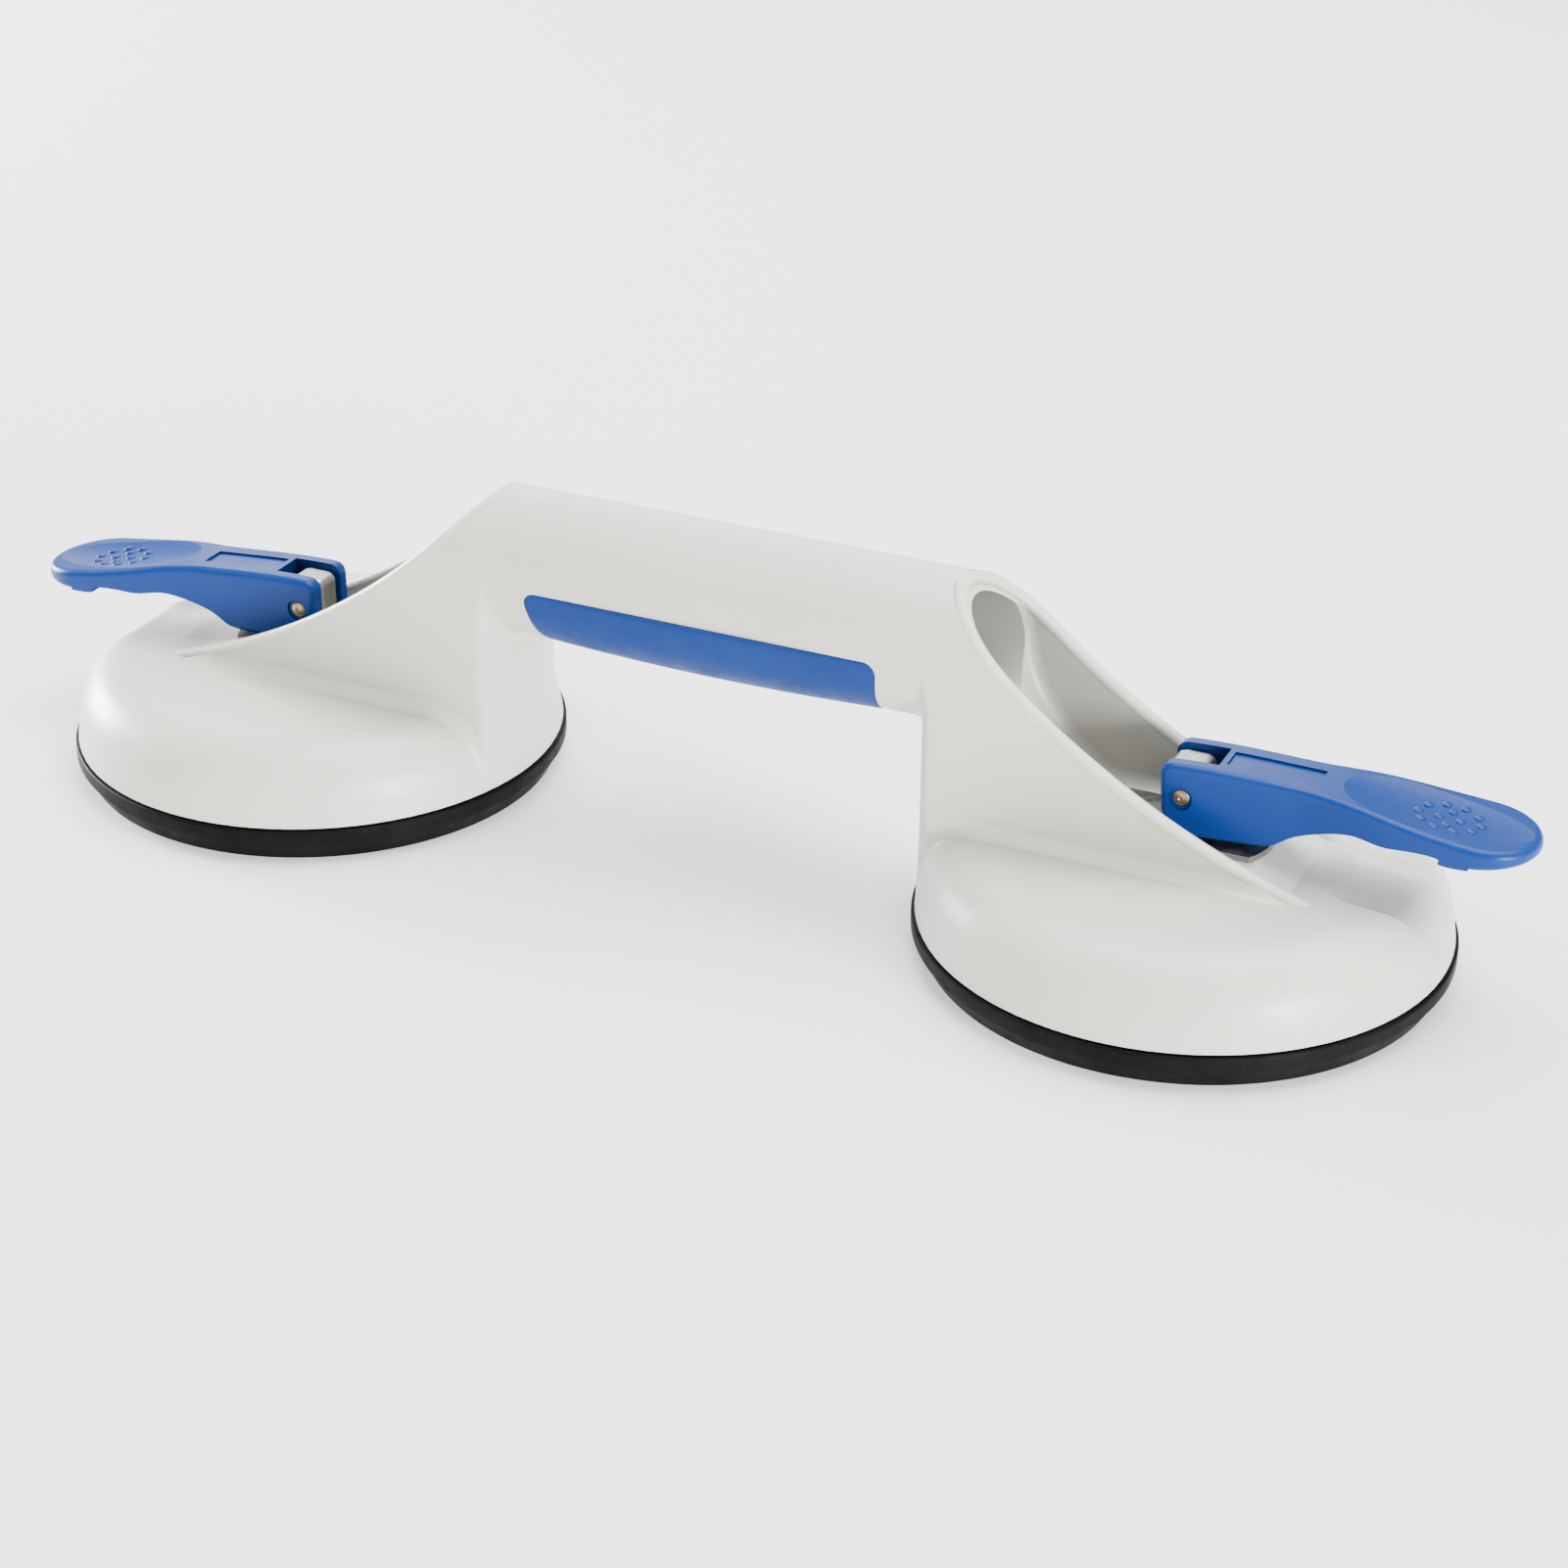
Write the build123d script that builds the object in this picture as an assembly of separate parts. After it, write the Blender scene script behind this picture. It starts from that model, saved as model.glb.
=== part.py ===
from build123d import *
from math import cos, pi, radians, sin, sqrt
import os

# Two-cup suction lifter. Its frame: origin on the work surface, midway between
# the cups; +X runs from the left cup to the right one and +Z points up.
# Both cups carry the same mechanism. Its pieces are modelled once, on the right
# cup, and the left cup gets them turned half round about Z.

# Overall layout
cup_offset = 112.0
body_width = 34.0
wall = 3.0
handle_top = 79.5
rest_gap = 0.3

# Rubber pad
pad_radius = 60.2
pad_band_radius = 59.4
pad_foot_radius = 57.2
pad_band_bottom = 4.6
pad_top = 8.3
pad_recess = 2.2
pad_lip_width = 7.0
pad_collar_height = 1.6

# Moulded dome that presses on the pad
dome_radius = 59.4
dome_rim = 8.8
dome_draft_top = 14.0
dome_draft = 0.8
dome_shoulder = 14.4
dome_top = 26.5
dome_foot_fillet = 3.0

# Handle tube and the opening under it
tube_radius = body_width / 2
tube_axis = handle_top - tube_radius
bore_radius = 13.0
post_fillet = 3.0
rim_start_gap = 4.4
rim_end_gap = 9.4
rim_end_height = 22.0

# Trough that falls from each end of the handle to the cam
trough_half_width = body_width / 2 - wall
trough_floor = 29.8
trough_corner = 3.5
trough_reach = 24.0
dish_corner = 6.0
dish_depth = 1.5
slab_end_gap = 8.4
mouth_gap = 6.0
foot_clearance = 0.3
rim_bead_radius = 1.65
rim_bead_drop = 1.9

# Guide boss under the trough floor
boss_radius = 8.0
boss_bottom = 16.0
rib_angles = (50, 90, 130, 230, 270, 310)
rib_thickness = 2.0
rib_inner_radius = 19.0
rib_bottom = 17.5

# Pull stud and the pieces on it
shank_radius = 4.0
stud_head_length = 8.8
stud_head_width = 8.0
stud_head_above_pin = 6.6
stud_head_below_pin = 4.7
stud_head_chamfer = 1.4
stud_head_crown = 1.8
pin_radius = 2.0
pin_clearance = 0.06
pin_seat = 0.02
bush_wall = 1.6
bush_clearance = 0.06
bush_flange_radius = 7.4
bush_flange_height = 1.2

# Steel plate in the pad, its nut, the spring's seat and the return spring
plate_radius = 40.0
plate_thickness = 2.2
nut_flats = 13.0
nut_height = 3.4
nut_chamfer = 0.8
seat_outer_radius = 13.4
seat_inner_radius = 8.6
seat_thickness = 1.0
spring_radius = 11.2
spring_wire = 0.9
spring_turns = 4.5

# Wear plate under the cam
wear_radius = 19.4
wear_half_width = 9.8
wear_thickness = 1.4
wear_hole_clearance = 0.5

# Cam lever, in its own frame: u from the pivot towards the tip, v up
lever_base_half_width = 8.0
lever_paddle_half_width = 12.4
lever_length = 76.0
lever_flare_start = 24.0
lever_top = 7.8
lever_tip_top = -2.2
lever_tip_bottom = -5.2
lever_front_corner = 2.8
lever_heel = 14.6
cam_height = 9.2
lever_edge_fillet = 1.6
lever_tip_fillet = 1.4
lever_skin = 3.0
lever_side_wall = 2.6
lever_pocket_start = 26.0
lever_pocket_end = 70.0
lever_rib_places = (38.0, 50.0, 61.0)
lever_rib_thickness = 1.6
cam_drop_per_radian = 2.8
fork_slot_half_width = stud_head_width / 2 + rest_gap
fork_slot_end = 7.6
label_start = 8.9
label_length = 20.4
label_width = 6.6
label_depth = 0.5
pin_recess_radius = 2.7
pin_recess_depth = 0.5
right_lever_lift = 4.5

# Thumb dish on the lever
thumb_centre = 55.5
thumb_height = 1.1
thumb_slope = 9.0
dish_half_length = 26.0
dish_half_width = 12.6
dish_half_height = 3.2
dish_sink = 0.9

# Soft grip let into the underside of the handle
grip_half_length = 44.3
grip_end_slant = 2.6
grip_depth = 1.8
grip_belly = 1.2
grip_top = 62.3
grip_corner = 3.0

# Worked out from the sizes above
wear_top = trough_floor + wear_thickness
pivot_height = wear_top + rest_gap + cam_height
cam_front = cam_height - cam_drop_per_radian * pi / 2
post_face = cup_offset - dome_radius
plate_bottom = pad_top
plate_top = plate_bottom + plate_thickness
skirt_radius = dome_radius - wall
dome_ceiling = dome_top - wall
core_ceiling = trough_floor - wall
outer_reach = cup_offset + dome_radius
bush_outer_radius = shank_radius + bush_clearance + bush_wall


def lying(profile, half_depth):
    """Extrude an XZ profile to both sides of the plane y = 0."""
    return Pos(0, half_depth, 0) * extrude(Plane.XZ * profile, amount=2 * half_depth)


def between(start, end, shares):
    """Points whose x and z are shares of the way from start to end."""
    run, rise = end[0] - start[0], end[1] - start[1]
    return [(start[0] + run * along, start[1] + rise * up) for along, up in shares]


def face_from(*edges):
    """Fill the closed outline that the edges make."""
    return make_face(Curve() + list(edges))


def handle_section(half_width, low):
    """Section of the handle and post: flat sides under a half-round top."""
    sides = Polyline(
        (half_width, tube_axis), (half_width, low), (-half_width, low), (-half_width, tube_axis)
    )
    top = ThreePointArc((-half_width, tube_axis), (0, tube_axis + half_width), (half_width, tube_axis))
    return face_from(sides, top)


def prism(section, start, end):
    """Extrude a YZ section along X from start to end."""
    return Pos(start, 0, 0) * extrude(Plane.YZ * section, amount=end - start)


def cup_cylinder(radius, low, high):
    """Upright cylinder about the right cup's centre."""
    return Pos(cup_offset, 0, (low + high) / 2) * Cylinder(radius, high - low)


def turned(shape):
    """The same piece on the left cup."""
    return Rot(0, 0, 180) * shape


def dome(inset=0.0):
    """Solid dome, drawn in by an inset: drafted wall, broad shoulder, flat top."""
    radius, top = dome_radius - inset, dome_top - inset
    flat = radius - dome_shoulder
    edge = radius - dome_draft
    wall_top = (edge, dome_draft_top)
    fall = top - dome_draft_top
    shoulder = Bezier(wall_top, (edge - 0.1 * dome_shoulder, top - 0.4 * fall), (edge - 0.4 * dome_shoulder, top), (flat, top))
    low = dome_rim - inset
    outline = Polyline((flat, top), (0, top), (0, low), (radius, low), wall_top)
    return Pos(cup_offset, 0, 0) * revolve(Plane.XZ * face_from(shoulder, outline), Axis.Z)


def above_rim():
    """Everything above the sloping rim of the trough."""
    start = (post_face + rim_start_gap, handle_top + 1)
    end = (outer_reach - rim_end_gap, rim_end_height)
    shares = [(0.086, 0.149), (0.21, 0.344), (0.333, 0.504), (0.476, 0.658), (0.6, 0.766), (0.74, 0.865), (0.85, 0.928)]
    slope = Spline(start, *between(start, end, shares), end)
    reach, high = outer_reach + 10, handle_top + 10
    cover = Polyline(end, (reach, end[1]), (reach, high), (start[0], high), start)
    return lying(face_from(slope, cover), body_width)


def trough():
    """Space between the trough's walls: steep at the handle's mouth, then a long floor."""
    mouth = (post_face + mouth_gap, handle_top)
    foot = (cup_offset - wear_radius - foot_clearance, trough_floor)
    shares = [(0.071, 0.09), (0.178, 0.24), (0.235, 0.392), (0.3, 0.553), (0.487, 0.755), (0.739, 0.926)]
    slope = Spline(mouth, *between(mouth, foot, shares), foot, tangents=[(0.45, -1.0), (1.0, 0.0)])
    end, high = cup_offset + trough_reach, handle_top + 5
    cover = Polyline(foot, (end, trough_floor), (end, high), (mouth[0], high), mouth)
    space = lying(face_from(slope, cover), body_width)
    space &= prism(handle_section(trough_half_width, dome_rim), mouth[0] - 5, end)
    corners = space.edges().filter_by(on_trough_floor)
    return fillet(corners, trough_corner)


def on_trough_floor(edge):
    """True for an edge between the trough's floor and its walls or roof."""
    middle = edge.position_at(0.5)
    along_wall = abs(abs(middle.Y) - trough_half_width) < 0.001 and middle.Z < tube_axis - 10
    round_mouth = edge.geom_type == GeomType.BSPLINE and middle.Z > tube_axis + 5 and middle.X < post_face + 2 * mouth_gap
    return (along_wall and middle.X < cup_offset + trough_reach - 1) or round_mouth


def dish():
    """Shallow scoop that carries the trough's floor out and over the dome's shoulder."""
    start = (cup_offset + 0.6 * trough_reach, trough_floor + 0.6)
    low = dome_top - dish_depth
    rim = outer_reach - dome_shoulder
    edge = outer_reach - dome_draft
    fall = dome_top - dome_draft_top
    path = Spline(
        start, (cup_offset + trough_reach, trough_floor - 0.9), (rim - 8, low + 0.9), (rim, low - 0.1),
        (rim + 0.45 * dome_shoulder, low - 0.1 * fall), (rim + 0.65 * dome_shoulder, low - 0.28 * fall),
        (edge - 2.4, low - 0.5 * fall), (edge - 0.7, dome_draft_top + 1), (edge + 0.7, dome_draft_top - 3.5),
    )
    end = path @ 1
    reach = outer_reach + 5
    cover = Polyline(end, (reach, end.Z), (reach, handle_top), (start[0], handle_top), start)
    space = lying(face_from(path, cover), trough_half_width)
    low_sides = space.edges().filter_by(GeomType.BSPLINE).filter_by(on_trough_wall)
    return fillet(low_sides, dish_corner)


def on_trough_wall(edge):
    """True for an edge that runs along one inner wall of the trough."""
    return abs(abs(edge.position_at(0.5).Y) - trough_half_width) < 0.001


def rim_bead():
    """Rounded bead along the rim, from one wall over the handle's mouth to the other."""
    middle = (body_width / 2 + trough_half_width) / 2
    block = prism(handle_section(middle, dome_rim), post_face - 5, outer_reach)
    block -= Pos(0, 0, -rim_bead_drop) * above_rim()
    path = Wire(block.edges().filter_by(GeomType.BSPLINE))
    bead = sweep(Plane(path @ 0, z_dir=path % 0) * Circle(rim_bead_radius), path=path)
    root = dome_ceiling + wall / 6
    return bead & Pos(cup_offset, 0, root + handle_top / 2) * Box(2 * cup_offset, 2 * body_width, handle_top)


def core():
    """Space that the mould's core leaves under the post and the trough."""
    inner = cup_offset - skirt_radius - 2
    low = dome_rim - 1
    roof = tube_axis - bore_radius - wall - 2
    knee = post_face + rim_start_gap + 10
    end = cup_offset + trough_reach
    outline = Polyline(
        (inner, low), (inner, roof), (knee, roof), (knee + 13, core_ceiling + 2 * wall), (knee + 23, core_ceiling),
        (end, core_ceiling), (end, low), (inner, low),
    )
    space = lying(make_face(outline), trough_half_width)
    return space & cup_cylinder(skirt_radius, low, handle_top)


def skirt_space():
    """Room for the pad's plate and the spring inside the dome."""
    under_dish = Pos(outer_reach - dome_shoulder, 0, dome_ceiling) * Box(40, body_width, 2 * dish_depth)
    return dome(wall) - under_dish


def ribs():
    """Ribs under the dome's top, fanned to both sides of the trough."""
    height = dome_top - rib_bottom
    length = dome_radius - rib_inner_radius
    rib = Pos(rib_inner_radius + length / 2, 0, rib_bottom + height / 2) * Box(length, rib_thickness, height)
    inside = dome(wall / 2)
    return [Pos(cup_offset, 0, 0) * Rot(0, 0, angle) * rib & inside for angle in rib_angles]


def housing_half():
    """Right cup's dome, post and trough, with half of the handle."""
    right_dome = dome()
    slab = prism(handle_section(body_width / 2, dome_rim), post_face - 10, outer_reach + 10)
    body = right_dome + slab
    body = fillet(body.edges().filter_by(on_slab_foot), dome_foot_fillet)
    body &= cup_cylinder(dome_radius, dome_rim, handle_top + 5)
    body -= Pos(0, 0, -rim_bead_drop) * above_rim()
    body += right_dome
    body += Pos(0, 0, tube_axis) * extrude(Plane.YZ * Circle(tube_radius), amount=post_face + 3)
    body = fillet(body.edges().filter_by(on_post_crease), post_fillet)
    body -= past_slab_end() - right_dome
    body -= trough()
    body -= dish()
    body -= core()
    body -= skirt_space()
    body += cup_cylinder(boss_radius, boss_bottom, trough_floor)
    body += ribs()
    body -= cup_cylinder(bush_outer_radius, 0, handle_top)
    return body + rim_bead()


def past_slab_end():
    """Block over the outer edge of the dome, where only the dome shows."""
    start = outer_reach - slab_end_gap
    return Pos(start + 10, 0, trough_floor / 2) * Box(20, 2 * body_width, trough_floor)


def on_slab_foot(edge):
    """True for a low edge where the slab's side meets the dome."""
    on_side = all(abs(abs(edge.position_at(part).Y) - body_width / 2) < 0.001 for part in (0.1, 0.5))
    return on_side and dome_rim + 0.01 < edge.position_at(0.5).Z < dome_top + 0.01


def on_post_crease(edge):
    """True for the creases round the post's inner face, beside and under the handle."""
    middle = edge.position_at(0.5)
    on_face = abs(sqrt((middle.X - cup_offset) ** 2 + middle.Y**2) - dome_radius) < 0.001
    beside = edge.geom_type == GeomType.LINE and middle.X < post_face + 5
    under = edge.geom_type == GeomType.BSPLINE and dome_top + 10 < middle.Z < tube_axis
    return on_face and (beside or under)


def make_housing():
    """One moulding: two domes, two posts with troughs and the hollow handle."""
    half = housing_half()
    body = half + turned(half)
    body -= Pos(0, 0, tube_axis) * Rot(0, 90, 0) * Cylinder(bore_radius, 2 * cup_offset)
    return body - make_grip()


def make_grip():
    """Soft inlay round the lower half of the handle, with a slight belly."""
    inner = tube_radius - grip_depth
    end = grip_half_length
    crown = ThreePointArc((-end, tube_radius), (0, tube_radius + grip_belly), (end, tube_radius))
    sides = Polyline((end, tube_radius), (end, inner), (-end, inner), (-end, tube_radius))
    ring = Pos(0, 0, tube_axis) * revolve(Plane.XZ * face_from(crown, sides), Axis.X)
    low = tube_axis - tube_radius - grip_belly - 1
    low_end = end - grip_end_slant
    outline = make_face(Polyline((-end, grip_top), (end, grip_top), (low_end, low), (-low_end, low), (-end, grip_top)))
    outline = fillet(outline.vertices().group_by(Axis.Y)[-1], grip_corner)
    return ring & lying(outline, body_width / 2)


def make_pad():
    """Rubber disc: banded rim, bevelled foot, sealing lip and hollow underside."""
    lip = pad_foot_radius - pad_lip_width
    outline = Polyline(
        (0, pad_recess), (lip - 4, pad_recess), (lip, 0), (pad_foot_radius, 0),
        (pad_band_radius, pad_band_bottom - 0.4), (pad_band_radius, pad_band_bottom),
        (pad_radius, pad_band_bottom + 0.4), (pad_radius, pad_top), (plate_radius + 2, pad_top),
        (plate_radius + 2, pad_top + pad_collar_height), (plate_radius, pad_top + pad_collar_height),
        (plate_radius, plate_bottom), (0, plate_bottom), (0, pad_recess),
    )
    disc = revolve(Plane.XZ * make_face(outline), Axis.Z)
    return Pos(cup_offset, 0, 0) * disc


def make_backing_plate():
    """Steel disc bonded to the rubber; the stud is threaded into it."""
    return cup_cylinder(plate_radius, plate_bottom, plate_top) - cup_cylinder(shank_radius, 0, handle_top)


def make_stud():
    """Pull stud: round shank and a flat-sided eye that the pin goes through."""
    base = pivot_height - stud_head_below_pin
    height = stud_head_above_pin + stud_head_below_pin
    head = Box(stud_head_length, stud_head_width, height)
    head = chamfer(head.edges().filter_by(Axis.Z), stud_head_chamfer)
    head = fillet(head.edges().group_by(Axis.Z)[-1], stud_head_crown)
    head = Pos(cup_offset, 0, base + height / 2) * head
    shank = cup_cylinder(shank_radius, plate_bottom, base)
    eye = Pos(cup_offset, 0, pivot_height) * Rot(90, 0, 0) * Cylinder(pin_radius + pin_clearance, 2 * body_width)
    return head + shank - eye


def make_nut():
    """Flat hexagon nut that locks the stud to the plate."""
    hexagon = RegularPolygon(nut_flats / 2, 6, major_radius=False)
    nut = Pos(cup_offset, 0, plate_top) * extrude(hexagon, amount=nut_height)
    corner = nut_flats / sqrt(3)
    cone = Pos(cup_offset, 0, plate_top + nut_height / 2) * Cylinder(corner, nut_height)
    cone = chamfer(cone.edges().group_by(Axis.Z)[-1], nut_chamfer)
    return (nut & cone) - cup_cylinder(shank_radius, 0, handle_top)


def make_spring_seat():
    """Washer that the spring stands on."""
    top = plate_top + seat_thickness
    return cup_cylinder(seat_outer_radius, plate_top, top) - cup_cylinder(seat_inner_radius, 0, handle_top)


def make_spring():
    """Return spring between the seat and the roof of the dome."""
    low = plate_top + seat_thickness + rest_gap + spring_wire
    high = core_ceiling - spring_wire
    height = high - low
    coil = Helix(pitch=height / spring_turns, height=height, radius=spring_radius)
    section = Plane(coil @ 0, z_dir=coil % 0) * RegularPolygon(spring_wire, 8)
    return Pos(cup_offset, 0, low) * sweep(section, path=coil, is_frenet=True)


def make_bush():
    """Flanged sleeve that guides the stud in the boss."""
    sleeve = cup_cylinder(bush_outer_radius, boss_bottom, trough_floor)
    flange = cup_cylinder(bush_flange_radius, boss_bottom - bush_flange_height, boss_bottom)
    return sleeve + flange - cup_cylinder(shank_radius + bush_clearance, 0, handle_top)


def make_wear_plate():
    """Round steel plate with two flats, flush on the trough's floor."""
    plate = cup_cylinder(wear_radius, trough_floor, wear_top)
    plate &= Pos(cup_offset, 0, trough_floor) * Box(3 * wear_radius, 2 * wear_half_width, 3 * wear_thickness)
    return plate - cup_cylinder(shank_radius + wear_hole_clearance, 0, handle_top)


def cam_point(angle):
    """Point of the cam that meets the wear plate with the lever at this angle.

    The distance from the pivot to the plate falls evenly with the angle, so the
    stud sinks by cam_drop_per_radian for each radian that the lever rises.
    """
    reach = cam_height - cam_drop_per_radian * angle
    u = cam_drop_per_radian * cos(angle) - reach * sin(angle)
    v = -cam_drop_per_radian * sin(angle) - reach * cos(angle)
    return (u, v)


def lever_side():
    """Side outline of the lever, in u and v."""
    cam = Spline([cam_point(radians(degree)) for degree in range(0, 91, 15)])
    corner = lever_front_corner
    front = Line(cam @ 1, (-cam_front, lever_top - corner))
    brow = (corner - cam_front, lever_top)
    nose = RadiusArc(front @ 1, brow, corner)
    reach = lever_length + 2
    tip = (reach, lever_tip_top)
    crown = [(0.146, 0.045), (0.328, 0.17), (0.511, 0.34), (0.681, 0.61), (0.827, 0.81)]
    top = Spline(brow, *between(brow, tip, crown), tip, tangents=[(1, 0), (1, -0.12)])
    heel = (lever_heel + 0.9, 0.4 - cam_height)
    hollow = [(0.1, 0.22), (0.17, 0.75), (0.27, 1.28), (0.39, 1.69), (0.48, 1.83), (0.61, 1.56), (0.73, 1.61), (0.87, 1.42)]
    arch_end = (lever_length - lever_paddle_half_width, lever_tip_bottom)
    arch = Spline(heel, *between(heel, arch_end, hollow), arch_end, tangents=[(1, 0.05), (1, 0)])
    skirt = Polyline(arch_end, (reach, lever_tip_bottom), tip)
    sole = Polyline(heel, (lever_heel, -cam_height), cam @ 0)
    return face_from(cam, front, nose, top, skirt, arch, sole)


def lever_plan(inset):
    """Outline of the lever from above, drawn in by an inset."""
    base = lever_base_half_width - inset
    paddle = lever_paddle_half_width - inset
    centre = lever_length - lever_paddle_half_width
    start = (-lever_front_corner - 5, base)
    flare = (lever_flare_start, base)
    side = Line(start, flare)
    spread = Spline(flare, (40.0, base + 0.48 * (paddle - base)), (centre, paddle), tangents=[(1, 0), (1, 0)])
    end = ThreePointArc((centre, paddle), (centre + paddle, 0), (centre, -paddle))
    back = [mirror(edge, Plane.XZ) for edge in (spread, side)]
    close = Line((start[0], -base), start)
    return face_from(side, spread, end, *back, close)


def tip_foot_corner():
    """Half ring outside the rounded lower edge of the lever's tip."""
    reach, low, round_off = lever_paddle_half_width, lever_tip_bottom, lever_tip_fillet
    middle = round_off * (1 - sqrt(0.5))
    corner = ThreePointArc((reach - round_off, low), (reach - middle, low + middle), (reach, low + round_off))
    outside = Polyline(
        (reach, low + round_off), (reach + 1, low + round_off), (reach + 1, low - 1), (reach - round_off, low - 1),
        (reach - round_off, low),
    )
    ring = revolve(Plane.XZ * face_from(corner, outside), Axis.Z, 180)
    return Pos(lever_length - lever_paddle_half_width, 0, 0) * Rot(0, 0, -90) * ring


def make_lever():
    """Cam lever: forked cam base, arched neck and a dished thumb paddle."""
    raw = lying(lever_side(), body_width / 2)
    plan = lever_plan(0)
    lever = raw & Pos(0, 0, -20) * extrude(plan, amount=40)
    top_edges = lever.faces().filter_by(lambda face: face.normal_at().Z > 0.8).sort_by(Axis.Z)[-1].edges()
    lever = fillet(top_edges.filter_by(lambda edge: abs(edge.position_at(0.5).Y) > 1.0), lever_edge_fillet)
    lever -= tip_foot_corner()

    label = Pos(label_start + label_length / 2, 0, lever_top) * Box(label_length, label_width, lever_top)
    lever -= label - Pos(0, 0, -label_depth) * raw

    inset_plan = Pos(0, 0, -20) * extrude(lever_plan(lever_side_wall), amount=40)
    pocket = (Pos(0, 0, -lever_skin) * raw) & inset_plan
    length = lever_pocket_end - lever_pocket_start
    pocket &= Pos(lever_pocket_start + length / 2, 0, 0) * Box(length, body_width, 40)
    for place in lever_rib_places:
        pocket -= Pos(place, 0, 0) * Box(lever_rib_thickness, body_width, 40)
    lever -= pocket

    thumb = Pos(thumb_centre, 0, thumb_height) * Rot(0, thumb_slope, 0)
    bowl = scale(Sphere(1), by=(dish_half_length, dish_half_width, dish_half_height))
    lever -= thumb * Pos(0, 0, dish_half_height - dish_sink) * bowl

    slot_length = fork_slot_end + 10
    lever -= Pos(fork_slot_end - slot_length / 2, 0, 0) * Box(slot_length, 2 * fork_slot_half_width, 40)
    across = Rot(90, 0, 0)
    lever -= across * Cylinder(pin_radius + pin_seat, body_width)
    for side in (1, -1):
        place = side * lever_base_half_width
        lever -= Pos(0, place, 0) * across * Cylinder(pin_recess_radius, 2 * pin_recess_depth)
    return lever


def make_pin():
    """Pivot pin, with its ends just inside the lever's cheeks."""
    length = 2 * (lever_base_half_width - pin_recess_depth / 2)
    pin = Cylinder(pin_radius, length)
    return Rot(90, 0, 0) * chamfer(pin.edges().filter_by(GeomType.CIRCLE), 0.3)


def at_pivot(piece, lift):
    """Carry a piece from the lever's frame to the right cup, raised by lift degrees."""
    return Pos(cup_offset, 0, pivot_height) * Rot(0, -lift, 0) * piece


def main():
    os.makedirs("parts", exist_ok=True)
    pieces = {"housing": make_housing(), "grip_inlay": make_grip()}
    on_each_cup = {
        "suction_pad": make_pad(),
        "backing_plate": make_backing_plate(),
        "pull_stud": make_stud(),
        "stud_nut": make_nut(),
        "spring_seat": make_spring_seat(),
        "return_spring": make_spring(),
        "guide_bush": make_bush(),
        "wear_plate": make_wear_plate(),
    }
    for name, piece in on_each_cup.items():
        pieces["right_" + name] = piece
        pieces["left_" + name] = turned(piece)
    for name, piece in {"cam_lever": make_lever(), "pivot_pin": make_pin()}.items():
        pieces["right_" + name] = at_pivot(piece, right_lever_lift)
        pieces["left_" + name] = turned(at_pivot(piece, 0))
    for name, piece in pieces.items():
        export_step(piece, "parts/" + name + ".step")


main()
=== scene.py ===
"""Looks of the two-cup suction lifter: finishes, grip, pads, pins, bumps, light and camera."""
import logging
import math
from dataclasses import dataclass
from enum import Enum

import bmesh
import bpy
from mathutils import Matrix, Vector


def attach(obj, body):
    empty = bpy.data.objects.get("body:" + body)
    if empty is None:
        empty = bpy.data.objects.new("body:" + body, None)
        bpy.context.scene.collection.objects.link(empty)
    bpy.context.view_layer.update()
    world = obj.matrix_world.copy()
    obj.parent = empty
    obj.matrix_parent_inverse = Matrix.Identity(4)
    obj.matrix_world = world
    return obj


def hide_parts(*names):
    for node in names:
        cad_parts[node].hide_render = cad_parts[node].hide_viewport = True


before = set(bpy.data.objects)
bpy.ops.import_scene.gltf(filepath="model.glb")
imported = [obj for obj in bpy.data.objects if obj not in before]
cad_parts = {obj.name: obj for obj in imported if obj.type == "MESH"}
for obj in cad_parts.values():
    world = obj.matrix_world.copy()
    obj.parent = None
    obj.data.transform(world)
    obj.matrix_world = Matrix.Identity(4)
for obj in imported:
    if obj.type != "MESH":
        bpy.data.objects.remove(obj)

LOG = logging.getLogger("suction_lifter")
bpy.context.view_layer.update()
MM = 0.001
ON_AXIS = 1e-7
OPENNESS_SAMPLES = 8
Colour = tuple[float, float, float]
Place = tuple[float, float, float]
Outline = list[tuple[float, float]]
Socket = bpy.types.NodeSocket
Rows = list[list[bmesh.types.BMVert]]


class Side(Enum):
    """The two cups, with the sign of their place along X."""

    LEFT = -1
    RIGHT = 1

    @property
    def word(self) -> str:
        """Prefix of the cup's nodes and bodies."""
        return self.name.lower()

    @property
    def turn(self) -> Matrix:
        """Matrix that carries a piece from the right cup to this one."""
        return Matrix.Rotation(math.pi if self is Side.LEFT else 0.0, 4, "Z")


class Spread(Enum):
    """How a noise runs over a surface: evenly, or drawn out along the handle."""

    EVEN = (1.0, 1.0, 1.0)
    ALONG_X = (0.04, 1.0, 1.0)


@dataclass(frozen=True)
class Patches:
    """A noise by its patch size and finer layers, and the span of its values that counts."""

    size: float
    detail: float
    low: float = 0.3
    high: float = 0.7


@dataclass(frozen=True)
class Relief:
    """A fine relief by its patch size, finer layers, full depth and the share that shows."""

    size: float
    detail: float
    depth: float
    strength: float


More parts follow.
